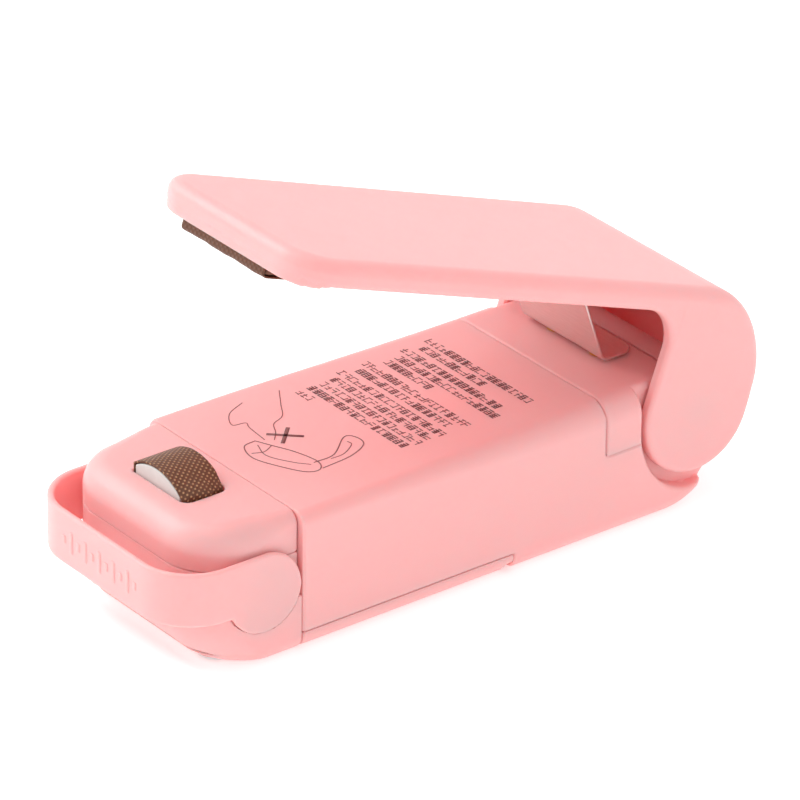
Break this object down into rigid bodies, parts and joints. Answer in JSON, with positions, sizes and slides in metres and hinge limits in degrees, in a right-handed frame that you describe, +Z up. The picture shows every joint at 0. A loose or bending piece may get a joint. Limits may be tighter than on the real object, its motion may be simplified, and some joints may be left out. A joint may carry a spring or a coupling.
{
  "type": "handheld bag heat sealer",
  "caption": "Palm-sized battery bag sealer: a sprung lever presses a pad on a heated nose, with a swinging guard round the nose and a battery door below.",
  "frame": {"origin": "middle of the open sealer's bounding box, on the surface that it stands on", "axes": "+Z up from the battery door to the printed deck, +Y from the heated nose to the lever's hinge, +X across the width"},
  "size_m": [0.034, 0.097, 0.0555],
  "materials": {
    "pink_plastic": "smooth satin moulded plastic",
    "heater_cloth": "woven glass cloth with a brown non-stick coating",
    "silicone": "matt heat-proof rubber",
    "ceramic": "matt light grey heat-proof moulding",
    "steel": "plain spring steel strip",
    "screw_steel": "bright zinc-plated screws",
    "brass": "brass contact",
    "cell_jacket": "plain printed metal jacket",
    "red_insulation": "soft red wire insulation",
    "black_insulation": "soft black wire insulation"
  },
  "bodies": {
    "root": {"main_case": "pink_plastic", "rear_cover": "pink_plastic", "nose_base": "pink_plastic", "nose_cap": "pink_plastic", "heater_block": "ceramic", "heater_strip": "steel", "heater_cloth": "heater_cloth", "hinge_pin": "steel", "plus_contact": "steel", "minus_contact": "steel", "bridge_plate": "steel", "front_spring": "steel", "rear_spring": "steel", "battery_left": "cell_jacket", "battery_right": "cell_jacket", "heater_lead": "red_insulation", "return_lead": "black_insulation", "switch_lead": "red_insulation", "nose_screw_right": "screw_steel", "nose_screw_left": "screw_steel", "cover_screw_right": "screw_steel", "cover_screw_left": "screw_steel", "switch_contact_right": "brass", "switch_contact_left": "brass"},
    "lever": {"lever": "pink_plastic", "pressure_pad": "silicone", "pad_cloth": "heater_cloth", "leaf_spring": "steel", "leaf_screw_right": "screw_steel", "leaf_screw_left": "screw_steel"},
    "guard": {"safety_guard": "pink_plastic"},
    "door": {"battery_door": "pink_plastic"}
  },
  "joints": [
    {"name": "lever_hinge", "type": "hinge", "parent": "root", "child": "lever", "pos_m": [0, 0.03776, 0.0141], "axis": [1, 0, 0], "range_deg": [0, 21.8], "stiffness_Nm_per_rad": 0.12, "springref_deg": -20.05, "deforming": ["leaf_spring", "pressure_pad", "pad_cloth"]},
    {"name": "guard_pivot", "type": "hinge", "parent": "root", "child": "guard", "pos_m": [0, -0.03434, 0.0105], "axis": [-1, 0, 0], "range_deg": [0, 90]},
    {"name": "door_release", "type": "slide", "parent": "root", "child": "door", "axis": [0, 0, -1], "range_m": [0, 0.025]}
  ]
}
